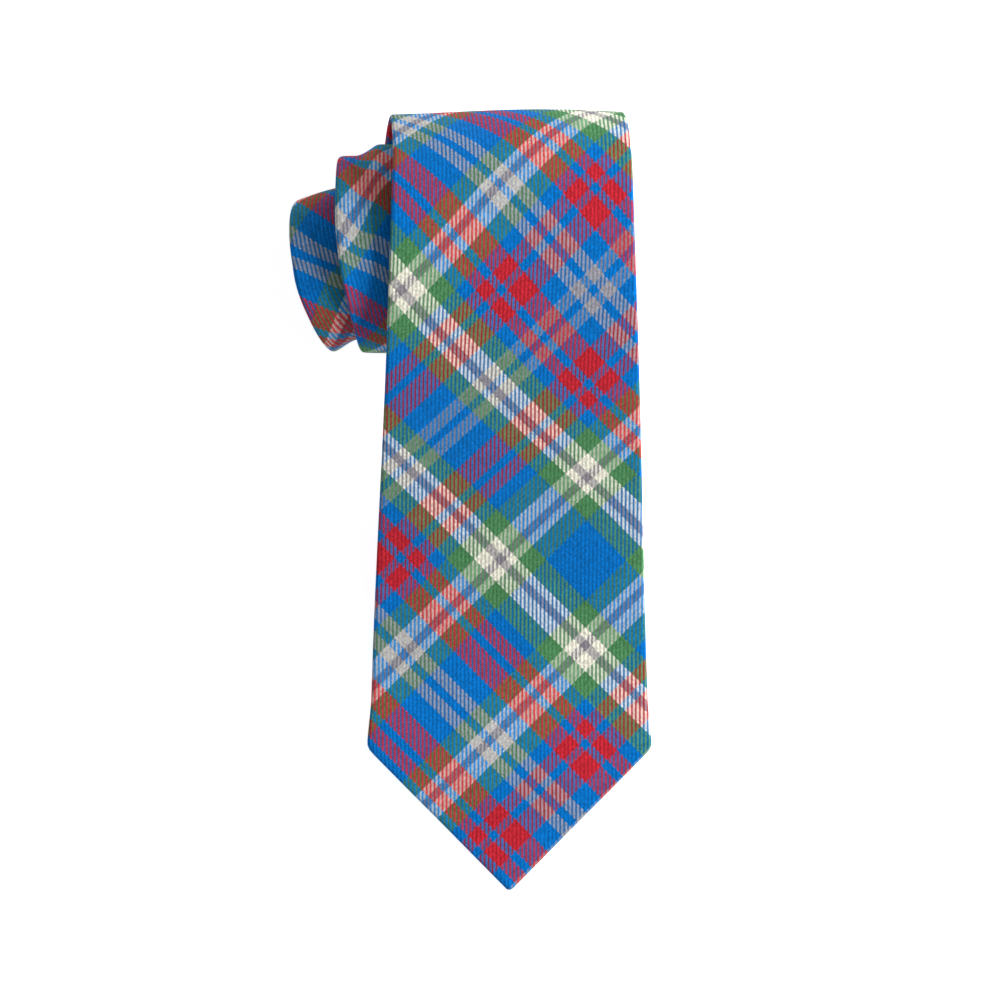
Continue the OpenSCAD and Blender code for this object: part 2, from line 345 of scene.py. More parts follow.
class TieRun:
    """The tie's way from the front blade's point, round the roll to the fold at its heart, and
    back out to the tail's point. All in millimetres, with the blade's point at y = 0 and the
    table at z = 0. s is the distance along the tie, q across it and h through it, with the face
    at +h."""

    def __init__(self, sizes):
        self.sizes = sizes
        pitch = (sizes.thickness + sizes.ply_gap) * MM
        self.face_h = sizes.thickness * MM / 2
        self.table_mid = (sizes.thickness + sizes.ply_gap / 2) * MM
        self.step = sizes.turn_step * MM
        self.roll_len = sizes.roll_len * MM

        turn = np.arange(0, sizes.turns + 1e-9, 1 / 240)
        coil = self.coil(turn)
        self.crest = coil[0]
        front_y = np.arange(0, self.crest[0] - 0.3, 0.5)
        front = np.vstack([self.free(front_y, sizes.front_land * MM), coil])
        tail_y = np.arange(TAIL_END, self.crest[0] - 0.3, 0.5)
        tail = np.vstack([self.free(tail_y, sizes.tail_land * MM), coil])
        front_n, tail_n = self.normals(front), self.normals(tail)
        drop = pitch * smooth((TAIL_END - front[:, 0]) / (sizes.tail_drop * MM))
        front = front + front_n * pitch / 2 - np.column_stack([0 * drop, drop])
        core, core_n = coil[-1], front_n[-1]
        angle = np.radians(np.arange(10, 171, 10))[:, None]
        fold_n = core_n * np.cos(angle) + np.array([core_n[1], -core_n[0]]) * np.sin(angle)
        place = np.vstack([front, core + fold_n * pitch / 2, (tail - tail_n * pitch / 2)[::-1]])
        normal = np.vstack([front_n, fold_n, -tail_n[::-1]])
        turns = np.concatenate([
            0 * front_y, turn, np.full(len(fold_n), turn[-1]), turn[::-1], 0 * tail_y,
        ])

        fine = np.arange(0, 5.2, 0.005)
        slid = spread(np.interp(fine, SLIDE[:, 0], SLIDE[:, 1]), 14)
        shift = np.interp(turns, fine, slid)
        shift[:len(front_y)] *= smooth((front_y - 60) / 90)
        shift[-len(tail_y):] *= smooth((tail_y[::-1] - 60) / 90)
        moved = np.linalg.norm(np.diff(place, axis=0), axis=1)
        self.s = np.concatenate([[0], np.cumsum(moved)])
        self.total = self.s[-1]
        self.y, self.z = place.T
        self.ny, self.nz = normal.T
        self.shift = shift
        sideways = np.gradient(spread(shift, 6), self.s)
        self.lean = spread(np.arctan(sideways), 4)
        along = np.concatenate([[0], np.cumsum(np.hypot(moved, np.diff(shift)))])
        self.check = along - np.interp(along, EASED_IN[:, 0], EASED_IN[:, 1])
        half = len(front)
        self.neck_s = np.interp(sizes.neck_turn, turns[len(front_y):half],
                                self.s[len(front_y):half])
        self.tail_s = self.s[half + len(fold_n):][np.searchsorted(
            -turns[half + len(fold_n):], -sizes.neck_turn)]
        self.front_ys, self.front_ss = self.y[:len(front_y)], self.s[:len(front_y)]

    def coil(self, n):
        """The line between the two halves at turn n of the roll, as (y, z)."""
        far = LAID_LEN - self.step * (n - 0.25) - 9 * smooth((n - 0.25) / 2) - self.table_mid
        near = LAID_LEN - self.roll_len + self.step * (n - 0.75) + self.table_mid
        top = ROLL_H - self.step * n - self.table_mid
        bottom = self.step * (n - 0.5) + self.table_mid
        squareness = 2 / (2 + 0.3 * np.clip(1 - n / 5, 0, 1))
        sine, cosine = np.sin(2 * np.pi * n), np.cos(2 * np.pi * n)
        return np.column_stack([
            (far + near) / 2 + (far - near) / 2 * np.sign(sine) * np.abs(sine) ** squareness,
            (top + bottom) / 2 + (top - bottom) / 2 * np.sign(cosine) * np.abs(cosine) ** squareness,
        ])

    def free(self, y, land):
        """The line between the two halves from the table at land up to the roll's crest."""
        rise = 0.5 - 0.5 * np.cos(np.pi * np.clip((y - land) / (self.crest[0] - land), 0, 1))
        return np.column_stack([y, self.table_mid + (self.crest[1] - self.table_mid) * rise])

    @staticmethod
    def normals(line):
        along = np.gradient(line, axis=0)
        along = np.column_stack([spread(along[:, 0], 3), spread(along[:, 1], 3)])
        along /= np.linalg.norm(along, axis=1)[:, None]
        return np.column_stack([-along[:, 1], along[:, 0]])

    def s_at(self, y):
        """The distance along the free front blade at which it is y from its point."""
        return float(np.interp(y, self.front_ys, self.front_ss))

    def from_point(self, s):
        return np.minimum(s, self.total - s)

    def half_width(self, s):
        """Half of the tie's width, with rounded points and softly rounded corners."""
        s = np.asarray(s, float)
        d, tail = self.from_point(s), s > self.total / 2
        widest = np.where(tail, self.sizes.tail_w * MM, BLADE_W) / 2
        narrowing = np.where(tail, 0.01, self.sizes.taper / 2)
        side = np.maximum(self.sizes.neck_w * MM / 2, widest - narrowing * (d - widest))
        flare = smooth((d - widest) / 14) * (1 - smooth((d - 225) / 65))
        side = side - np.where(tail, 0, self.sizes.flare * MM) * flare
        tip_r = 1.3
        reach = tip_r * (1 - math.sqrt(0.5))
        slope = (widest - tip_r * math.sqrt(0.5)) / (widest - reach)
        point = tip_r * math.sqrt(0.5) + (d - reach) * slope
        tip = np.sqrt(np.clip(tip_r ** 2 - (tip_r - np.clip(d, 0, reach)) ** 2, 1e-4, None))
        point = np.where(d < reach, tip, point)
        mix = np.clip(0.5 + 0.5 * (side - point) / 1.5, 0, 1)
        return side * (1 - mix) + point * mix - 1.5 * mix * (1 - mix)

    def opening(self, s):
        """Half of the gap between the back edges, which shows the lining near each point."""
        s = np.asarray(s, float)
        d, tail = self.from_point(s), s > self.total / 2
        corner = np.where(tail, self.sizes.tail_w * MM, BLADE_W) / 2
        seam = np.where(tail, self.sizes.tail_seam, self.sizes.front_seam) * MM
        shut = np.where(d < corner, 1, np.clip(1 - (d - corner) / (seam - corner), 0, 1))
        return np.maximum(0, (self.half_width(s) - self.sizes.hem * MM) * shut)

    def edges(self, s):
        """Where the back's right edge, which lies on top, and its left edge end."""
        gap, half = self.opening(s), self.half_width(s)
        lap = self.sizes.overlap * MM
        right = gap - lap / 3 * (1 - smooth(gap / 4))
        left = -gap + 2 * lap / 3 * (1 - smooth(gap / 6))
        return np.maximum(right, -0.4 * half), np.minimum(left, 0.5 * half)

    def tuck(self, s, q):
        """How far the left back edge goes in to pass under the right one."""
        right = self.edges(s)[0]
        return (self.sizes.cloth * MM + 0.02) * smooth((q - right + 7) / 5)

    def place(self, s, q, h):
        """Points of the tie in the part's frame, in metres."""
        s, q, h = np.broadcast_arrays(np.asarray(s, float), q, h)
        x = q + np.interp(s, self.s, self.shift)
        y = np.interp(s, self.s, self.y) + h * np.interp(s, self.s, self.ny)
        z = np.interp(s, self.s, self.z) + h * np.interp(s, self.s, self.nz)
        y, z = self.settle(s, x, y, z)
        return np.stack([x + MIDDLE_X, y + TIP_Y, z], axis=-1) / MM

    @staticmethod
    def near_sag(x, y):
        """How far the innermost turn that shows sags at its near side."""
        deepest, past = 3.8, SLID_X - 8
        return deepest * smooth((past - x) / 8) * smooth((176 - y) / 16) * in_roll(y)

    @staticmethod
    def settle(s, x, y, z):
        """How the soft roll gives: its slid-out turns get slimmer to the left, its far side waves
        a little, and the free blade lies in faint ripples."""
        out = np.maximum(0, SLID_X - x) * in_roll(y)
        far_sag = 4.2 * smooth(out / 9) * smooth((y - 160) / 16)
        slim = 1 - 0.1 * (np.maximum(0, out - 12) / 13) ** 1.3
        y = NEAR_Y + (y - far_sag - TieRun.near_sag(x, y) - NEAR_Y) * slim
        z = LOW_Z + (z - LOW_Z) * (1 - (1 - slim) / 2)
        wave = 1.3 * smooth((8 - x) / 42) + 0.5 * smooth((x - 12) / 18)
        y = y - wave * smooth((y - NEAR_Y) / 50) * (1 - smooth(out / 4))
        ripple = 0.5 + 0.5 * np.sin(0.13 * y + 0.08 * x + 1) * np.cos(0.055 * y - 0.19 * x)
        loose = smooth(y / 30) * (1 - smooth((y - 105) / 30)) * (s < 160)
        return y, z + 0.25 * ripple * loose


def new_object(name, points, faces, uvs=None):
    """A smooth mesh object. uvs gives each point's place on the flat cloth, in millimetres."""
    mesh = bpy.data.meshes.new(name)
    mesh.from_pydata(points.reshape(-1, 3).tolist(), [], faces)
    mesh.update()
    if uvs is not None:
        layer = mesh.uv_layers.new(name="cloth")
        corner = np.zeros(len(mesh.loops), np.int32)
        mesh.loops.foreach_get("vertex_index", corner)
        layer.data.foreach_set("uv", uvs.reshape(-1, 2)[corner].astype(np.float32).ravel())
    mesh.polygons.foreach_set("use_smooth", [True] * len(mesh.polygons))
    made = bpy.data.objects.new(name, mesh)
    bpy.context.scene.collection.objects.link(made)
    return made


def ring_faces(rings, count, ends):
    """Quads of a closed section of count points, swept through its rings. Its ends are closed by
    pairs of points that face each other, or by a cap each."""
    i, j = np.meshgrid(np.arange(rings - 1), np.arange(count), indexing="ij")
    a, b = i * count + j, i * count + (j + 1) % count
    faces = np.stack([a, a + count, b + count, b], axis=-1).reshape(-1, 4).tolist()
    last = (rings - 1) * count
    if ends == "pairs":
        for k in range(count // 2 - 1):
            pair = [k, k + 1, count - 2 - k, count - 1 - k]
            faces.append(pair)
            faces.append([last + p for p in reversed(pair)])
    else:
        faces.append(list(range(count)))
        faces.append([last + k for k in reversed(range(count))])
    return faces


def cloth_uv(run, s, u):
    """Places on the flat cloth, for points u across the tie. A turn that slides leans its cloth,
    and the fold is pressed a little off the middle from the top of the blade on."""
    lean = np.interp(s, run.s, run.lean)
    check = np.interp(s, run.s, run.check)
    off = 1.8 * smooth((s - 140) / 45) - 3.5 * smooth((s - 465) / 55)
    sag = run.near_sag(u + np.interp(s, run.s, run.shift), np.interp(s, run.s, run.y))
    return np.stack([u * np.cos(lean) - off, check + u * np.sin(lean) - sag], axis=-1)


def stations(start, end, step, points=()):
    """Stations from start to end, closer together beside a point of the tie."""
    near = [0.02, 0.08, 0.18, 0.32, 0.5, 0.75, 1.05, 1.4, 1.9, 2.5, 3.3, 4.2]
    inner = np.arange(start, end, step)[1:]
    found = [start, *inner[inner < end - step / 2], end]
    for point, way in points:
        found = [s for s in found if abs(s - point) > near[-1] + step / 2]
        found += [point + way * n for n in near]
    return np.array(sorted(found))


def twill_shell(run, name, s):
    """The folded twill: face, rounded edges and two back flaps that lap at the seam."""
    s = s[:, None]
    half, (right, left) = run.half_width(s), run.edges(s)
    end = run.from_point(s)
    thin = np.sqrt(np.clip(1 - (1 - np.clip(end / 0.8, 0, 1)) ** 2, 0.04, 1))
    cloth = run.sizes.cloth * MM
    flap, face = np.linspace(0, 1, 22), np.linspace(1, -1, 61)[1:-1]
    arc = np.radians(np.linspace(-90, 90, 9))

    def layer(depth):
        w = np.maximum(half - depth, 0.5 * half)
        r = np.minimum(run.face_h - depth, 0.7 * w)
        top, bottom = run.face_h - depth, depth - run.face_h
        crown = 0.12 * (1 - depth / cloth * 0.3)
        flat = w - r
        middle, tall = (top - crown + bottom) / 2, (top - crown - bottom) / 2
        q = np.hstack([
            right + (flat - right) * flap[:-1], flat + r * np.cos(arc), flat * face,
            -flat - r * np.cos(arc[::-1]), left + (-flat - left) * (1 - flap[1:]),
        ])
        h = np.hstack([
            bottom + 0 * (s * flap[:-1]), middle + tall * np.sin(arc) + 0 * s,
            top - crown * face ** 4 + 0 * s, middle + tall * np.sin(arc[::-1]) + 0 * s,
            bottom + 0 * (s * flap[1:]),
        ])
        n = len(flap) - 1
        h[:, -n:] += run.tuck(s, q[:, -n:])
        bend = r * np.pi
        u = np.hstack([
            flat + bend + flat - q[:, :n], flat + r * (np.pi / 2 - arc), flat * face,
            -flat - r * (np.pi / 2 - arc[::-1]), -flat - bend - flat - q[:, -n:],
        ])
        return q, h * thin, u

    outer, inner = layer(0), layer(cloth)
    q, h, u = (np.hstack([a, b[:, ::-1]]) for a, b in zip(outer, inner))
    points = run.place(s + 0 * q, q, h)
    return new_object(name, points, ring_faces(len(s), q.shape[1], "pairs"), cloth_uv(run, s, u))


def cloth_strip(run, name, s, across, low, high, columns=25):
    """A flat layer from low to high. across gives its left and right edges at s, and low and high
    may be numbers or functions of s and q."""
    s = np.asarray(s, float)[:, None]
    t = np.linspace(0, 1, columns)
    left, right = across(s)
    q = left + (right - left) * t
    levels = [(v(s, q) if callable(v) else v) + 0 * q for v in (low, high)]
    ring_q = np.hstack([q, q[:, ::-1]])
    ring_h = np.hstack([levels[0], levels[1][:, ::-1]])
    points = run.place(s + 0 * ring_q, ring_q, ring_h)
    uv = np.stack([ring_q, s + 0 * ring_q], axis=-1)
    return new_object(name, points, ring_faces(len(s), ring_q.shape[1], "pairs"), uv)


def threads(name, lines, thread_r, sides=8):
    """Round threads along lines of points, as one mesh."""
    points, faces, uvs, base = [], [], [], 0
    turn = np.linspace(0, 2 * np.pi, sides, endpoint=False)
    for line in lines:
        along = np.gradient(line, axis=0)
        along /= np.linalg.norm(along, axis=1)[:, None] + 1e-12
        side = np.cross(along, np.where(np.abs(along[:, :1]) > 0.9, [[0, 1, 0]], [[1, 0, 0]]))
        side /= np.linalg.norm(side, axis=1)[:, None]
        up = np.cross(side, along)
        ends = np.ones(len(line))
        ends[[0, -1]] = 0.55
        ring = (side[:, None] * np.cos(turn)[:, None] + up[:, None] * np.sin(turn)[:, None])
        points.append((line[:, None] + ring * (thread_r / MM * ends)[:, None, None]).reshape(-1, 3))
        run_s = np.concatenate([[0], np.cumsum(np.linalg.norm(np.diff(line, axis=0), axis=1))])
        uvs.append(np.stack(np.broadcast_arrays(turn / 6.2832, run_s[:, None] * MM), -1).reshape(-1, 2))
        faces += [[base + p for p in face] for face in ring_faces(len(line), sides, "caps")]
        base += len(line) * sides
    return new_object(name, np.vstack(points), faces, np.vstack(uvs))


def node(tree, kind, inputs=None, **settings):
    """Adds a node. inputs gives its sockets, by name or number, a value or another node's output."""
    made = tree.nodes.new(kind)
    for name, value in settings.items():
        setattr(made, name, value)
    for name, value in (inputs or {}).items():
        if isinstance(value, bpy.types.NodeSocket):
            tree.links.new(value, made.inputs[name])
        else:
            made.inputs[name].default_value = value
    return made


def material(name, make):
    """The material of that name, made once. make sets its surface up."""
    found = bpy.data.materials.get(name)
    if found:
        return found
    found = bpy.data.materials.new(name)
    found.use_nodes = True
    found.node_tree.nodes.clear()
    surface = make(found.node_tree, bpy.context.scene.necktie_cloth)
    node(found.node_tree, "ShaderNodeOutputMaterial", {"Surface": surface.outputs[0]})
    return found


def stripe_colour(tree, cloth, place):
    """The check's colour for the thread whose middle is at place, counted in threads."""
    count = sum(n for _, n in SETT)
    folded = node(tree, "ShaderNodeMath", {0: place, 1: count}, operation="PINGPONG")
    share = node(tree, "ShaderNodeMath", {0: folded.outputs[0], 1: count}, operation="DIVIDE")
    ramp = node(tree, "ShaderNodeValToRGB", {"Fac": share.outputs[0]})
    stops = ramp.color_ramp
    stops.interpolation = "CONSTANT"
    done = 0
    for k, (name, threads_wide) in enumerate(SETT):
        stop = stops.elements[0] if k == 0 else stops.elements.new(done / count)
        stop.position = done / count
        stop.color = (*getattr(cloth, name), 1)
        done += threads_wide
    stops.elements.remove(stops.elements[-1])
    return ramp.outputs["Color"]


def tartan_twill(tree, cloth):
    """Brushed wool twill, 2 over 2 under, cut on the bias so that its ribs run down the tie. Dull
    and fuzzy: each dyed yarn varies, the yarn below shows through, and the floats are raised.
    Painted light and shade lie on the ribs, and painted shade lies where the yarns cross."""
    spacing = cloth.thread * MM
    # The stripes' starts are counted from the middle of the laid tie, along the threads
    middle = 0.5 * LAID_LEN / math.sqrt(2)
    flat = node(tree, "ShaderNodeUVMap", uv_map="cloth")
    counted = node(tree, "ShaderNodeMapping", {
        "Vector": flat.outputs[0],
        "Location": (-(middle + cloth.along_start * MM) / spacing,
                     -(middle - cloth.across_start * MM) / spacing, 0),
        "Rotation": (0, 0, -math.pi / 4),
        "Scale": (1 / spacing, 1 / spacing, 1),
    })
    axes = node(tree, "ShaderNodeSeparateXYZ", {0: counted.outputs[0]})
    colours, heights, indices = [], [], []
    for axis in ("X", "Y"):
        index = node(tree, "ShaderNodeMath", {0: axes.outputs[axis]}, operation="FLOOR")
        core = node(tree, "ShaderNodeMath", {0: index.outputs[0], 1: 0.5}, operation="ADD")
        dyed = stripe_colour(tree, cloth, core.outputs[0])
        chance = node(tree, "ShaderNodeTexWhiteNoise", {"W": index.outputs[0]}, noise_dimensions="1D")
        dye_lot = node(tree, "ShaderNodeMapRange", {
            "Value": chance.outputs[0], "To Min": 0.9, "To Max": 1.07,
        })
        colours.append(node(tree, "ShaderNodeVectorMath", {0: dyed, "Scale": dye_lot.outputs[0]},
                            operation="SCALE").outputs[0])
        part = node(tree, "ShaderNodeMath", {0: axes.outputs[axis]}, operation="FRACT")
        round_off = node(tree, "ShaderNodeMath", {0: part.outputs[0], 1: math.pi}, operation="MULTIPLY")
        heights.append(node(tree, "ShaderNodeMath", {0: round_off.outputs[0]}, operation="SINE").outputs[0])
        indices.append(index.outputs[0])
    # Fibres brushed up over the weave, about 0.25 mm across
    fibres = node(tree, "ShaderNodeTexNoise", {
        "Vector": flat.outputs[0], "Scale": 4, "Detail": 2, "Roughness": 0.7,
    })
    # Each thread goes over two, then under two, one step on from its neighbour
    step = node(tree, "ShaderNodeMath", {0: indices[0], 1: axes.outputs["Y"]}, operation="SUBTRACT")
    ragged = node(tree, "ShaderNodeMath", {0: fibres.outputs[0], 1: 1.6, 2: step.outputs[0]},
                  operation="MULTIPLY_ADD")
    float_at = node(tree, "ShaderNodeMath", {0: ragged.outputs[0], 1: 4}, operation="FLOORED_MODULO")
    over = node(tree, "ShaderNodeMath", {0: float_at.outputs[0], 1: 2.2}, operation="LESS_THAN")
    seen = node(tree, "ShaderNodeMapRange", {"Value": over.outputs[0], "To Min": 0.05, "To Max": 0.97})
    # The yarn below shows through a little. Multiplying by the yarn below then paints shade and bounced colour onto
    # the yarn above, darker where the yarn below is darker
    yarns = node(tree, "ShaderNodeMix", {0: seen.outputs[0], 6: colours[1], 7: colours[0]},
                 data_type="RGBA")
    below = node(tree, "ShaderNodeMix", {0: over.outputs[0], 6: colours[0], 7: colours[1]},
                 data_type="RGBA")
    woven = node(tree, "ShaderNodeMix", {0: 0.35, 6: yarns.outputs[2], 7: below.outputs[2]},
                 data_type="RGBA", blend_type="MULTIPLY")
    rise = node(tree, "ShaderNodeMix", {0: over.outputs[0], 2: heights[1], 3: heights[0]},
                data_type="FLOAT")
    # Painted light and shade on the twill's ribs: the colour is lightest on the ribs and darkest in the hollows
    # between them, once every four threads
    swing = node(tree, "ShaderNodeMath", {0: float_at.outputs[0], 1: math.pi / 2, 2: -0.23},
                 operation="MULTIPLY_ADD")
    rib_painted_shade = node(tree, "ShaderNodeMath", {0: swing.outputs[0]}, operation="SINE")
    crest = node(tree, "ShaderNodeMapRange", {
        "Value": rib_painted_shade.outputs[0], "From Min": -1, "To Min": 0.78, "To Max": 1.26,
    })
    crossing = node(tree, "ShaderNodeCombineXYZ", {"X": indices[0], "Y": indices[1]})
    chance = node(tree, "ShaderNodeTexWhiteNoise", {"Vector": crossing.outputs[0]},
                  noise_dimensions="2D")
    uneven = node(tree, "ShaderNodeMapRange", {"Value": chance.outputs[0], "To Min": 0.8, "To Max": 1.25})
    fuzz = node(tree, "ShaderNodeMapRange", {"Value": fibres.outputs[0], "To Min": 0.1, "To Max": 2})
    # The ribs' painted light and shade, times a random tone for each crossing
    yarn = node(tree, "ShaderNodeMath", {0: crest.outputs[0], 1: uneven.outputs[0]},
                operation="MULTIPLY")
    light = node(tree, "ShaderNodeMath", {0: yarn.outputs[0], 1: fuzz.outputs[0]},
                 operation="MULTIPLY")
    shade = node(tree, "ShaderNodeVectorMath", {0: woven.outputs[2], "Scale": light.outputs[0]},
                 operation="SCALE")
    relief = node(tree, "ShaderNodeMath", {0: rise.outputs[0], 1: fibres.outputs[0]}, operation="ADD")
    bump = node(tree, "ShaderNodeBump", {
        "Strength": 0.55, "Distance": 0.00009, "Height": relief.outputs[0],
    })
    return node(tree, "ShaderNodeBsdfPrincipled", {
        "Base Color": shade.outputs[0], "Roughness": 0.95, "Specular IOR Level": 0.08,
        "Sheen Weight": 0.03, "Sheen Roughness": 0.5, "Normal": bump.outputs[0],
    })


def wool_felt(tree, cloth):
    """Undyed wool interlining, brushed into a soft felt: matt, with loose crossing fibres."""
    flat = node(tree, "ShaderNodeUVMap", uv_map="cloth")
    fibres = node(tree, "ShaderNodeTexNoise", {
        "Vector": flat.outputs[0], "Scale": 1.4, "Detail": 6, "Roughness": 0.7, "Distortion": 1.2,
    })
    tint = node(tree, "ShaderNodeMapRange", {"Value": fibres.outputs[0], "To Min": 0.8, "To Max": 1.1})
    shade = node(tree, "ShaderNodeVectorMath", {0: (*cloth.wool,), "Scale": tint.outputs[0]},
                 operation="SCALE")
    bump = node(tree, "ShaderNodeBump", {
        "Strength": 0.6, "Distance": 0.0002, "Height": fibres.outputs[0],
    })
    return node(tree, "ShaderNodeBsdfPrincipled", {
        "Base Color": shade.outputs[0], "Roughness": 0.95, "Specular IOR Level": 0.2,
        "Sheen Weight": 0.3, "Normal": bump.outputs[0],
    })


def lining_satin(tree, cloth):
    """Acetate satin lining: long floats lie side by side, so it shines along one way."""
    flat = node(tree, "ShaderNodeUVMap", uv_map="cloth")
    # Floats 2.4 mm long and 0.3 mm wide, drawn twice as coarse as real ones so that they show
    floats = node(tree, "ShaderNodeTexBrick", {
        "Vector": flat.outputs[0], "Scale": 1, "Mortar Size": 0.04, "Mortar Smooth": 1,
        "Brick Width": 2.4, "Row Height": 0.3, "Color1": (*cloth.lining, 1),
        "Color2": (*[c * 0.86 for c in cloth.lining], 1),
        "Mortar": (*[c * 0.6 for c in cloth.lining], 1),
    }, offset=0.4)
    bump = node(tree, "ShaderNodeBump", {
        "Strength": 0.3, "Distance": 0.00004, "Height": floats.outputs["Fac"],
    }, invert=True)
    return node(tree, "ShaderNodeBsdfPrincipled", {
        "Base Color": floats.outputs["Color"], "Roughness": 0.38, "Specular IOR Level": 0.5,
        "Anisotropic": 0.5, "Normal": bump.outputs[0],
    })


def sewing_thread(tree, cloth):
    """Spun polyester sewing thread: a two-ply twist with a soft gloss on each ply."""
    flat = node(tree, "ShaderNodeUVMap", uv_map="cloth")
    # One twist in 0.7 mm
    twist = node(tree, "ShaderNodeTexWave", {
        "Vector": flat.outputs[0], "Scale": 0.45, "Distortion": 0.4,
    }, wave_type="BANDS", bands_direction="DIAGONAL")
    tint = node(tree, "ShaderNodeMapRange", {"Value": twist.outputs["Fac"], "To Min": 0.7, "To Max": 1.3})
    shade = node(tree, "ShaderNodeVectorMath", {0: (*cloth.sewing,), "Scale": tint.outputs[0]},
                 operation="SCALE")
    bump = node(tree, "ShaderNodeBump", {
        "Strength": 0.5, "Distance": 0.00005, "Height": twist.outputs["Fac"],
    })
    return node(tree, "ShaderNodeBsdfPrincipled", {
        "Base Color": shade.outputs[0], "Roughness": 0.55, "Specular IOR Level": 0.4,
        "Sheen Weight": 0.2, "Normal": bump.outputs[0],
    })


def label_damask(tree, cloth):
    """Woven damask label with no lettering: a fine satin ground and a paler border line."""
    flat = node(tree, "ShaderNodeUVMap", uv_map="cloth")
    axes = node(tree, "ShaderNodeSeparateXYZ", {0: flat.outputs[0]})
    run = TieRun(bpy.context.scene.necktie_sizes)
    start, end = run.s_at(LABEL_YS[0]), run.s_at(LABEL_YS[1])
    lines = []
    for axis, middle, half in (("X", 0, LABEL_W / 2), ("Y", (start + end) / 2, (end - start) / 2)):
        off = node(tree, "ShaderNodeMath", {0: axes.outputs[axis], 1: middle}, operation="SUBTRACT")
        away = node(tree, "ShaderNodeMath", {0: off.outputs[0]}, operation="ABSOLUTE")
        lines.append(node(tree, "ShaderNodeMath", {0: half, 1: away.outputs[0]},
                          operation="SUBTRACT").outputs[0])
    edge = node(tree, "ShaderNodeMath", {0: lines[0], 1: lines[1]}, operation="MINIMUM")
    border = node(tree, "ShaderNodeMath", {0: edge.outputs[0], 1: 1.6, 2: 0.3}, operation="COMPARE")
    # Threads 0.18 mm apart
    ground = node(tree, "ShaderNodeTexWave", {
        "Vector": flat.outputs[0], "Scale": 1.75, "Distortion": 0,
    }, wave_type="BANDS", bands_direction="DIAGONAL")
    dark = node(tree, "ShaderNodeMapRange", {"Value": ground.outputs["Fac"], "To Min": 0.75, "To Max": 1.2})
    woven = node(tree, "ShaderNodeMix", {
        0: border.outputs[0], 6: (*cloth.label, 1), 7: (*cloth.label_edge, 1),
    }, data_type="RGBA")
    shade = node(tree, "ShaderNodeVectorMath", {0: woven.outputs[2], "Scale": dark.outputs[0]},
                 operation="SCALE")
    bump = node(tree, "ShaderNodeBump", {
        "Strength": 0.5, "Distance": 0.00004, "Height": ground.outputs["Fac"],
    })
    return node(tree, "ShaderNodeBsdfPrincipled", {
        "Base Color": shade.outputs[0], "Roughness": 0.5, "Specular IOR Level": 0.4,
        "Normal": bump.outputs[0],
    })


def tag_tape(tree, cloth):
    """White satin ribbon, cut with a hot knife: faint ribs across it, 0.4 mm apart."""
    flat = node(tree, "ShaderNodeUVMap", uv_map="cloth")
    ribs = node(tree, "ShaderNodeTexWave", {
        "Vector": flat.outputs[0], "Scale": 0.8, "Distortion": 0.2,
    }, wave_type="BANDS", bands_direction="Y")
    tint = node(tree, "ShaderNodeMapRange", {"Value": ribs.outputs["Fac"], "To Min": 0.9, "To Max": 1})
    shade = node(tree, "ShaderNodeVectorMath", {0: (*cloth.tape,), "Scale": tint.outputs[0]},
                 operation="SCALE")
    bump = node(tree, "ShaderNodeBump", {
        "Strength": 0.4, "Distance": 0.00004, "Height": ribs.outputs["Fac"],
    })
    return node(tree, "ShaderNodeBsdfPrincipled", {
        "Base Color": shade.outputs[0], "Roughness": 0.4, "Specular IOR Level": 0.5,
        "Normal": bump.outputs[0],
    })


def light_table(tree, _cloth):
    """Opal acrylic top of a light table, lit from below, with a finely sanded face."""
    stage = bpy.context.scene.necktie_stage
    sanded = node(tree, "ShaderNodeTexNoise", {"Scale": 900, "Detail": 2})
    bump = node(tree, "ShaderNodeBump", {
        "Strength": 0.1, "Distance": 0.0001, "Height": sanded.outputs[0],
    })
    return node(tree, "ShaderNodeBsdfPrincipled", {
        "Base Color": (*stage.opal, 1), "Roughness": 0.9, "Specular IOR Level": 0.1,
        "Emission Color": (1, 1, 1, 1), "Emission Strength": stage.glow, "Normal": bump.outputs[0],
    })


TWILL = ("tartan_brushed_twill", tartan_twill, "tartan_twill")
WOOL = ("interlining_wool_felt", wool_felt, "interlining_wool")
SATIN = ("lining_acetate_satin", lining_satin, "tipping_satin")
THREAD = ("spun_polyester_thread", sewing_thread, "sewing_thread")
DAMASK = ("label_woven_damask", label_damask, "woven_label")
TAPE = ("satin_ribbon_tape", tag_tape, "care_tape")

# Places of the trimmings on the back of the front blade, in millimetres from its point
LABEL_W = 44
LABEL_YS = (103, 117)
KEEPER_YS = (122, 132)
KEEPER_HALF = 23
TAG_XS = (24, 33)
LOOP_Y = 87
# How far the back lies under the tie's middle, with what is sewn on it just below
BACK = 0.84
HINGE_Y = LIFT["pos_m"][1] * MM - TIP_Y


def finish_piece(piece, finish, nodes, body=None):
    """Gives a piece its finish, the nodes that it stands for, and its body or, with none, the
    bend between the roll and the front blade."""
    name, make, slot = finish
    piece.data.materials.append(material(name, make))
    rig.slot(piece, slot)
    if body:
        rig.ride(piece, body)
    else:
        x, y, z = LIFT["pos_m"]
        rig.blend(piece, "roll", "front_blade", start=(x, y + 0.005, z), end=(x, y - 0.005, z))
    if nodes:
        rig.replaces(piece, *nodes)
    return piece


def flat_area(start, end, wide):
    """The flat area, in square metres, of a strip from start to end that is wide(s) across."""
    s = np.linspace(start, end, 400)
    w = wide(s)
    return float(np.sum((w[1:] + w[:-1]) / 2 * np.diff(s))) / MM ** 2


def twill_cut(run, start, end):
    """The flat size and area that a piece of the folded twill is cut to."""
    def wide(s):
        return 4 * run.half_width(s) + run.sizes.overlap * MM * (run.opening(s) < 3) \
            - 2 * run.opening(s)
    widest = float(wide(np.linspace(start, end, 400)).max())
    area = flat_area(start, end, wide)
    return {"flat": (widest / MM, (end - start) / MM), "area": area}


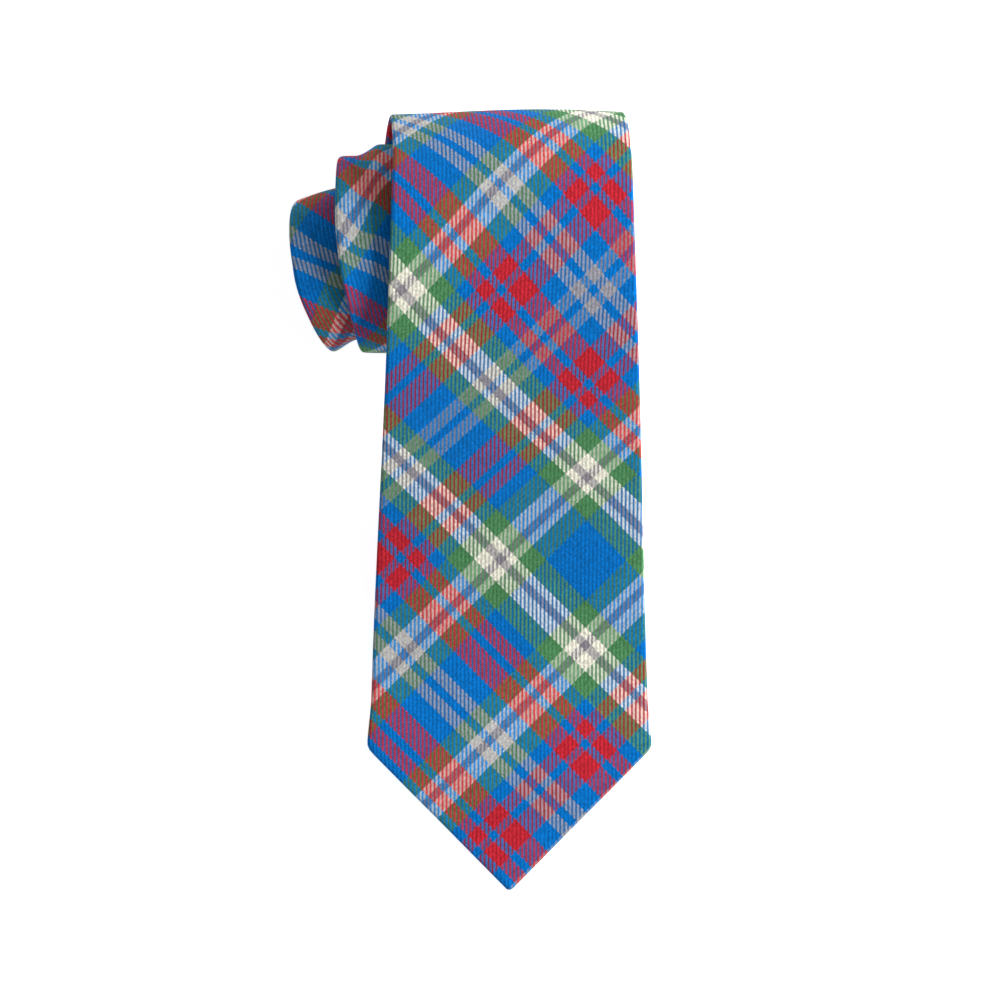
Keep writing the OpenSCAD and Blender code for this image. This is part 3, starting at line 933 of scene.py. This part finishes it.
class NECKTIE_OT_front_cloth(Operator):
    """Makes the twill of the front blade, from its point to the neck seam inside the roll"""

    bl_idname = "necktie.front_cloth"
    bl_label = "Front cloth"

    def execute(self, context):
        run = TieRun(context.scene.necktie_sizes)
        piece = twill_shell(run, "front_cloth", stations(0.02, run.neck_s, 1.25, [(0, 1)]))
        finish_piece(piece, TWILL, ("front_shell", "front_shell_rolled"))
        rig.sheet(piece, held="folded", **twill_cut(run, 0, run.neck_s))
        return {"FINISHED"}


class NECKTIE_OT_neck_cloth(Operator):
    """Makes the twill of the neck piece, which turns at the fold at the heart of the roll"""

    bl_idname = "necktie.neck_cloth"
    bl_label = "Neck cloth"

    def execute(self, context):
        run = TieRun(context.scene.necktie_sizes)
        piece = twill_shell(run, "neck_cloth", stations(run.neck_s + 0.05, run.tail_s - 0.05, 1.2))
        finish_piece(piece, TWILL, ("neck_shell",), "roll")
        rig.sheet(piece, held="folded", **twill_cut(run, run.neck_s, run.tail_s))
        return {"FINISHED"}


class NECKTIE_OT_tail_cloth(Operator):
    """Makes the twill of the tail, from the neck seam to its point under the front blade"""

    bl_idname = "necktie.tail_cloth"
    bl_label = "Tail cloth"

    def execute(self, context):
        run = TieRun(context.scene.necktie_sizes)
        s = stations(run.tail_s, run.total - 0.02, 1.6, [(run.total, -1)])
        piece = twill_shell(run, "tail_cloth", s)
        finish_piece(piece, TWILL, ("tail_shell", "tail_shell_rolled"), "roll")
        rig.sheet(piece, held="folded", **twill_cut(run, run.tail_s, run.total))
        return {"FINISHED"}


class NECKTIE_OT_interlining(Operator):
    """Makes the wool interlining, in a long piece from the front blade and one for the tail"""

    bl_idname = "necktie.interlining"
    bl_label = "Interlining"

    def execute(self, context):
        run = TieRun(context.scene.necktie_sizes)

        def across(s):
            half = np.maximum(run.half_width(s) - 1.2, 0.3)
            return -half, half

        pieces = (
            ("front_wool", 3, run.tail_s - 0.1, ("front_interlining", "interlining_rolled"), None),
            ("tail_wool", run.tail_s + 0.1, run.total - 3, ("tail_interlining",), "roll"),
        )
        for name, start, end, nodes, body in pieces:
            piece = cloth_strip(run, name, stations(start, end, 2), across, 0.06, 0.42)
            finish_piece(piece, WOOL, nodes, body)
            wide = 2 * float(run.half_width(np.linspace(start, end, 400)).max()) - 2.4
            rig.sheet(piece, flat=(wide / MM, (end - start) / MM), held="folded",
                     area=flat_area(start, end, lambda s: 2 * run.half_width(s) - 2.4))
        return {"FINISHED"}


class NECKTIE_OT_tippings(Operator):
    """Makes the satin lining behind the front point and behind the tail's point"""

    bl_idname = "necktie.tippings"
    bl_label = "Lining at the points"

    def execute(self, context):
        sizes = context.scene.necktie_sizes
        run = TieRun(sizes)

        def across(s):
            half = np.maximum(run.half_width(s) - 1, 0.3)
            return -half, half

        def low(s, q):
            return -0.08 - 0.18 * smooth((run.opening(s) - np.abs(q)) / 3)

        def high(s, q):
            return low(s, q) + 0.12

        pieces = (
            ("front_lining", 3, sizes.front_seam * MM, "front_tipping", "front_blade"),
            ("tail_lining", run.total - sizes.tail_seam * MM, run.total - 3, "tail_tipping", "roll"),
        )
        for name, start, end, cad_node, body in pieces:
            piece = cloth_strip(run, name, stations(start, end, 1), across, low, high, 60)
            finish_piece(piece, SATIN, (cad_node,), body)
            wide = 2 * float(run.half_width(np.linspace(start, end, 400)).max()) - 2
            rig.sheet(piece, flat=(wide / MM, (end - start) / MM), held="folded",
                     area=flat_area(start, end, lambda s: 2 * run.half_width(s) - 2))
        return {"FINISHED"}


class NECKTIE_OT_slip_stitches(Operator):
    """Makes the hand-sewn stitches that close the back seam"""

    bl_idname = "necktie.slip_stitches"
    bl_label = "Slip stitches"

    def execute(self, context):
        sizes = context.scene.necktie_sizes
        run = TieRun(sizes)
        hinge_s = run.s_at(HINGE_Y)
        pieces = (
            ("front_stitches", sizes.front_seam * MM + 4, hinge_s - 2, "front_slip_stitch", "front_blade"),
            ("roll_stitches", hinge_s + 3, run.total - sizes.tail_seam * MM - 4, "slip_stitch", "roll"),
        )
        along = np.array([-0.6, -0.5, -0.2, 0.2, 0.5, 0.6])
        depth = np.array([0.6, BACK, 0.9, 0.9, BACK, 0.6])
        for name, start, end, cad_node, body in pieces:
            lines = []
            for s in np.arange(start, end, 8.5):
                lie = float(run.edges(np.array([s]))[0][0])
                lines.append(run.place(s + along, lie + 0.9 - 1.6 * along, -depth))
            finish_piece(threads(name, lines, 0.13), THREAD, (cad_node,), body)
        return {"FINISHED"}


class NECKTIE_OT_bar_tacks(Operator):
    """Makes the dense bars of thread that hold both ends of the back seam"""

    bl_idname = "necktie.bar_tacks"
    bl_label = "Bar tacks"

    def execute(self, context):
        sizes = context.scene.necktie_sizes
        run = TieRun(sizes)
        pieces = (
            ("front_tack", sizes.front_seam * MM, 9, 1.6, "front_bar_tack", "front_blade"),
            ("tail_tack", run.total - sizes.tail_seam * MM, 6, 1.4, "tail_bar_tack", "roll"),
        )
        for name, s, wide, tall, cad_node, body in pieces:
            count = int(wide / 0.22)
            k = np.repeat(np.arange(count), 3)
            lift = np.tile([BACK, BACK + 0.18, BACK], count)
            step = np.tile([-0.5, 0, 0.5], count) * np.where(k % 2, -1, 1) * tall
            q = -wide / 2 + (k + 0.5) * wide / count
            zigzag = run.place(s + step, q, -lift)
            core = [run.place(s + dy + 0 * k[::3], q[::3], -0.86) for dy in (-0.35, 0, 0.35)]
            finish_piece(threads(name, [zigzag, *core], 0.13), THREAD, (cad_node,), body)
        return {"FINISHED"}


class NECKTIE_OT_keeper_loop(Operator):
    """Makes the loop of twill on the back that the tail can go through, and its tacks"""

    bl_idname = "necktie.keeper_loop"
    bl_label = "Keeper loop"

    def execute(self, context):
        run = TieRun(context.scene.necktie_sizes)
        start, end = run.s_at(KEEPER_YS[0]), run.s_at(KEEPER_YS[1])
        middle, half = (start + end) / 2, (end - start) / 2

        def across(s):
            return -KEEPER_HALF + 0 * s, KEEPER_HALF + 0 * s

        def high(s, q):
            edge = np.abs((s - middle) / half) ** 6
            return -BACK - 0.02 - 0.66 * smooth((KEEPER_HALF - 0.5 - np.abs(q)) / 5) - 0.12 * edge

        def low(s, q):
            edge = np.abs((s - middle) / half) ** 6
            return high(s, q) - 0.52 + 0.34 * edge

        s = middle + half * np.sin(np.linspace(-np.pi / 2, np.pi / 2, 15))
        piece = cloth_strip(run, "keeper_strap", s, across, low, high, 70)
        finish_piece(piece, TWILL, ("keeper_loop",), "front_blade")
        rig.sheet(piece, flat=(0.0105, 0.047), held="stretched", rests_on=["front_cloth"])
        lines = []
        for side in (-1, 1):
            for k in range(9):
                q = side * (KEEPER_HALF - 0.6 + 0.28 * k + np.array([-0.1, 0, 0.1, 0.1]))
                rise = np.array([0.75, 1.0, 1.0, 0.75]) + 0.35 * (k < 3)
                lines.append(run.place(middle + np.array([-3.6, -3.2, 3.2, 3.6]), q, -rise))
        finish_piece(threads("keeper_stitches", lines, 0.14), THREAD, ("keeper_tacks",), "front_blade")
        return {"FINISHED"}


class NECKTIE_OT_label(Operator):
    """Makes the blank woven label, the blank size tag, and the tacks that hold them"""

    bl_idname = "necktie.label"
    bl_label = "Label and size tag"

    def execute(self, context):
        run = TieRun(context.scene.necktie_sizes)
        start, end = run.s_at(LABEL_YS[0]), run.s_at(LABEL_YS[1])
        middle, half = (start + end) / 2, (end - start) / 2
        s = np.linspace(start, end, 24)

        def label_low(s, q):
            fold = smooth((np.abs((s - middle) / half) - 0.8) / 0.1)
            return -1.14 + 0.12 * (1 - fold)

        label = cloth_strip(run, "woven_label", s, lambda s: (-LABEL_W / 2 + 0 * s, LABEL_W / 2 + 0 * s),
                            label_low, -BACK, 45)
        finish_piece(label, DAMASK, ("label",), "front_blade")
        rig.sheet(label, flat=(LABEL_W / MM, 2 * half / MM), held="laid", rests_on=["front_cloth"])
        tag = cloth_strip(run, "size_tag_tape", s, lambda s: (TAG_XS[0] + 0 * s, TAG_XS[1] + 0 * s),
                          lambda s, q: -1.08 + 0.1 * np.sin((s - start) / (end - start) * 3), -BACK, 12)
        finish_piece(tag, TAPE, ("size_tag",), "front_blade")
        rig.sheet(tag, flat=(0.010, 2 * half / MM), held="laid", rests_on=["front_cloth"],
                 area=0.009 * 2 * half / MM)
        reach = np.array([-1.4, -1.2, 1.2, 1.4])
        rise = np.array([0.9, 1.2, 1.2, 0.9])
        lines = [
            run.place(middle + y + dy, x + reach, -rise)
            for x in (-20, 20) for y in (-half + 1.4, half - 1.4) for dy in (-0.18, 0.05, 0.25)
        ]
        finish_piece(threads("label_stitches", lines, 0.11), THREAD, ("label_tacks",), "front_blade")
        wide = np.array([-3.6, -3.4, 0, 3.4, 3.6])
        rise = np.array([0.9, 1.17, 1.2, 1.17, 0.9])
        lines = [run.place(end - 1.4 + dy, sum(TAG_XS) / 2 + wide, -rise) for dy in (-0.15, 0.15)]
        finish_piece(threads("tag_stitches", lines, 0.11), THREAD, ("size_tag_tack",), "front_blade")
        return {"FINISHED"}


class NECKTIE_OT_spare_loop(Operator):
    """Makes the small loop of spare thread that lets the seam give"""

    bl_idname = "necktie.spare_loop"
    bl_label = "Spare thread loop"

    def execute(self, context):
        run = TieRun(context.scene.necktie_sizes)
        a = np.linspace(0.12, 2 * np.pi - 0.12, 64)
        r = 3 + 0.15 * np.sin(2 * a + 0.4)
        line = run.place(run.s_at(LOOP_Y) + r * np.cos(a), r * np.sin(a), -1.02 - 0.03 * np.sin(3 * a))
        piece = threads("spare_loop", [line], 0.2, 12)
        finish_piece(piece, THREAD, ("spare_thread_loop",), "front_blade")
        return {"FINISHED"}


class NECKTIE_OT_stage(Operator):
    """Sets up the light table, the soft light and the camera"""

    bl_idname = "necktie.stage"
    bl_label = "Stage"

    def execute(self, context):
        scene = context.scene
        stage = scene.necktie_stage
        half, drop = 4, 0.00005
        corners = np.array([(-half, -half, -drop), (half, -half, -drop),
                            (half, half, -drop), (-half, half, -drop)])
        table = new_object("light_table", corners, [[0, 1, 2, 3]])
        table.data.materials.append(material("opal_acrylic_backlit", light_table))
        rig.stage(table)

        world = bpy.data.worlds.new("white_room")
        world.use_nodes = True
        world.node_tree.nodes["Background"].inputs["Color"].default_value = (1, 1, 1, 1)
        world.node_tree.nodes["Background"].inputs["Strength"].default_value = stage.sky
        scene.world = world
        lamp = bpy.data.lights.new("soft_box", "AREA")
        lamp.shape, lamp.size, lamp.energy = "SQUARE", 0.6, stage.lamp
        hung = bpy.data.objects.new("soft_box", lamp)
        hung.location = (1.4, 0.25, 0.8)
        hung.rotation_euler = hung.location.to_track_quat("Z", "Y").to_euler()
        scene.collection.objects.link(hung)

        lens = bpy.data.cameras.new("overhead_camera")
        lens.sensor_width = 36
        lens.lens = 36 * stage.camera_h / stage.view_w
        lens.clip_end = 100
        camera = bpy.data.objects.new("overhead_camera", lens)
        camera.location = (stage.view_x, 0, stage.camera_h)
        scene.collection.objects.link(camera)
        scene.camera = camera
        scene.view_settings.view_transform = "Standard"
        scene.view_settings.look = "None"
        return {"FINISHED"}


BUILD_ORDER = (
    NECKTIE_OT_front_cloth, NECKTIE_OT_neck_cloth, NECKTIE_OT_tail_cloth, NECKTIE_OT_interlining,
    NECKTIE_OT_tippings, NECKTIE_OT_slip_stitches, NECKTIE_OT_bar_tacks, NECKTIE_OT_keeper_loop,
    NECKTIE_OT_label, NECKTIE_OT_spare_loop, NECKTIE_OT_stage,
)


class NECKTIE_PT_build(Panel):
    """Lists the necktie's pieces and its sizes"""

    bl_idname = "NECKTIE_PT_build"
    bl_label = "Necktie"
    bl_space_type = "VIEW_3D"
    bl_region_type = "UI"
    bl_category = "Necktie"

    def draw(self, context):
        for step in BUILD_ORDER:
            self.layout.operator(step.bl_idname)
        for group in ("necktie_sizes", "necktie_cloth", "necktie_stage"):
            settings = getattr(context.scene, group)
            box = self.layout.box()
            for name in settings.__annotations__:
                box.prop(settings, name)


CLASSES = (NecktieSizes, NecktieCloth, NecktieStage, *BUILD_ORDER, NECKTIE_PT_build)


def register():
    for cls in CLASSES:
        bpy.utils.register_class(cls)
    bpy.types.Scene.necktie_sizes = PointerProperty(type=NecktieSizes)
    bpy.types.Scene.necktie_cloth = PointerProperty(type=NecktieCloth)
    bpy.types.Scene.necktie_stage = PointerProperty(type=NecktieStage)


def unregister():
    del bpy.types.Scene.necktie_stage
    del bpy.types.Scene.necktie_cloth
    del bpy.types.Scene.necktie_sizes
    for cls in reversed(CLASSES):
        bpy.utils.unregister_class(cls)


def main():
    register()
    for step in BUILD_ORDER:
        group, name = step.bl_idname.split(".")
        getattr(getattr(bpy.ops, group), name)()
    boxes = {
        "cad": [list(corner) for corner in CAD_BOX],
        "visual": [list(corner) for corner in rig.bounds()],
    }
    with open("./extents.json", "w") as out:
        json.dump(boxes, out, indent=1)


if __name__ == "__main__":
    main()
